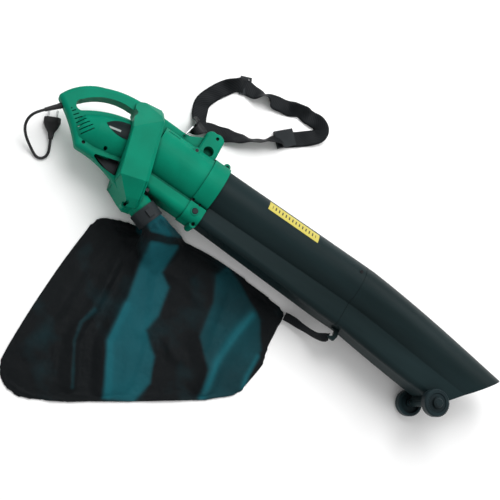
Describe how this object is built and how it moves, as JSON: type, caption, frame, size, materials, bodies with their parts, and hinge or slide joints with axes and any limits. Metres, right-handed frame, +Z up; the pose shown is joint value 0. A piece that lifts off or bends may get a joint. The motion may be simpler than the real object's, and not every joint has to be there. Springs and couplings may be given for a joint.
{
  "type": "leaf vacuum mulcher",
  "caption": "Hand-held electric garden vacuum, blower and mulcher with double tube, wheels, collecting bag, strap and short cord, lying on its side.",
  "frame": {"origin": "middle of the flat side of the fan casing, on the ground", "axes": "+X along the suction tube towards the nozzle, +Y to the handle side, +Z up, from the left shell on the ground to the right shell"},
  "size_m": [1.2552, 0.9536, 0.17],
  "materials": {
    "housing": "satin",
    "badge": "glossy",
    "tube": "satin",
    "dark_plastic": "satin",
    "label": "matt",
    "wheel": "satin",
    "bag": "matt",
    "webbing": "matt",
    "cord": "satin",
    "steel": "satin",
    "bearing": "polished",
    "lamination": "satin",
    "winding": "lacquered",
    "carbon": "matt",
    "impeller": "satin",
    "fan": "satin",
    "aluminium": "cast"
  },
  "bodies": {
    "machine": {"right_housing": "housing", "left_housing": "housing", "housing_screws": "steel", "collar_screws": "steel", "badge_plate": "badge", "rear_bearing": "bearing", "front_bearing": "bearing", "motor_end_bell": "aluminium", "motor_bracket": "aluminium", "stator_core": "lamination", "field_coils": "winding", "carbon_brushes": "carbon", "brush_holders": "steel", "switch_body": "dark_plastic", "capacitor": "dark_plastic", "upper_tube": "tube", "lower_tube": "tube", "joint_screw": "steel", "belly_hook": "tube", "warning_label": "label", "wheel_axle": "steel", "axle_caps": "wheel", "strain_relief": "cord", "cord_clamp": "dark_plastic", "cord": "cord", "plug_body": "cord", "plug_pins": "steel", "bag_collar": "dark_plastic", "bag": "bag", "bag_loop": "webbing", "shoulder_strap": "webbing", "strap_adjuster": "dark_plastic", "strap_buckle": "dark_plastic"},
    "rotor": {"motor_shaft": "steel", "rotor_core": "lamination", "rotor_windings": "winding", "front_windings": "winding", "commutator": "winding", "cooling_fan": "fan", "impeller": "impeller", "impeller_nut": "steel"},
    "trigger": {"switch_lever": "dark_plastic"},
    "button": {"lock_button": "dark_plastic"},
    "selector": {"selector_shaft": "steel", "diverter_flap": "dark_plastic", "selector_lever": "dark_plastic"},
    "right_wheel": {"right_wheel": "wheel"},
    "left_wheel": {"left_wheel": "wheel"},
    "ring": {"strap_ring": "steel"},
    "latch": {"bag_latch": "dark_plastic"}
  },
  "joints": [
    {"name": "rotor_spin", "type": "hinge", "parent": "machine", "child": "rotor", "pos_m": [-0.00877, 0.02869, 0.085], "axis": [0.9563, 0.2924, 0], "continuous": true},
    {"name": "trigger_press", "type": "hinge", "parent": "machine", "child": "trigger", "pos_m": [-0.09687, 0.09796, 0.085], "axis": [0, 0, 1], "range_deg": [0, 5], "stiffness_Nm_per_rad": 1.2, "springref_deg": -2.86},
    {"name": "button_press", "type": "slide", "parent": "machine", "child": "button", "axis": [0, 0, -1], "range_m": [0, 0.003], "stiffness_N_per_m": 1500, "springref_m": -0.002},
    {"name": "selector_turn", "type": "hinge", "parent": "machine", "child": "selector", "pos_m": [0.058, -0.054, 0.085], "axis": [0, 0, 1], "range_deg": [0, 120]},
    {"name": "right_wheel_spin", "type": "hinge", "parent": "machine", "child": "right_wheel", "pos_m": [0.866, -0.096, 0.15], "axis": [0, 0, 1], "continuous": true},
    {"name": "left_wheel_spin", "type": "hinge", "parent": "machine", "child": "left_wheel", "pos_m": [0.866, -0.096, 0.02], "axis": [0, 0, 1], "continuous": true},
    {"name": "ring_swing", "type": "hinge", "parent": "machine", "child": "ring", "pos_m": [0.062, 0.109, 0.085], "axis": [0, 0, 1], "range_deg": [-35, 70], "deforming": ["shoulder_strap"]},
    {"name": "latch_lift", "type": "hinge", "parent": "machine", "child": "latch", "pos_m": [0.0801, -0.08913, 0.1246], "axis": [-0.342, -0.9397, 0], "range_deg": [0, 60]}
  ]
}
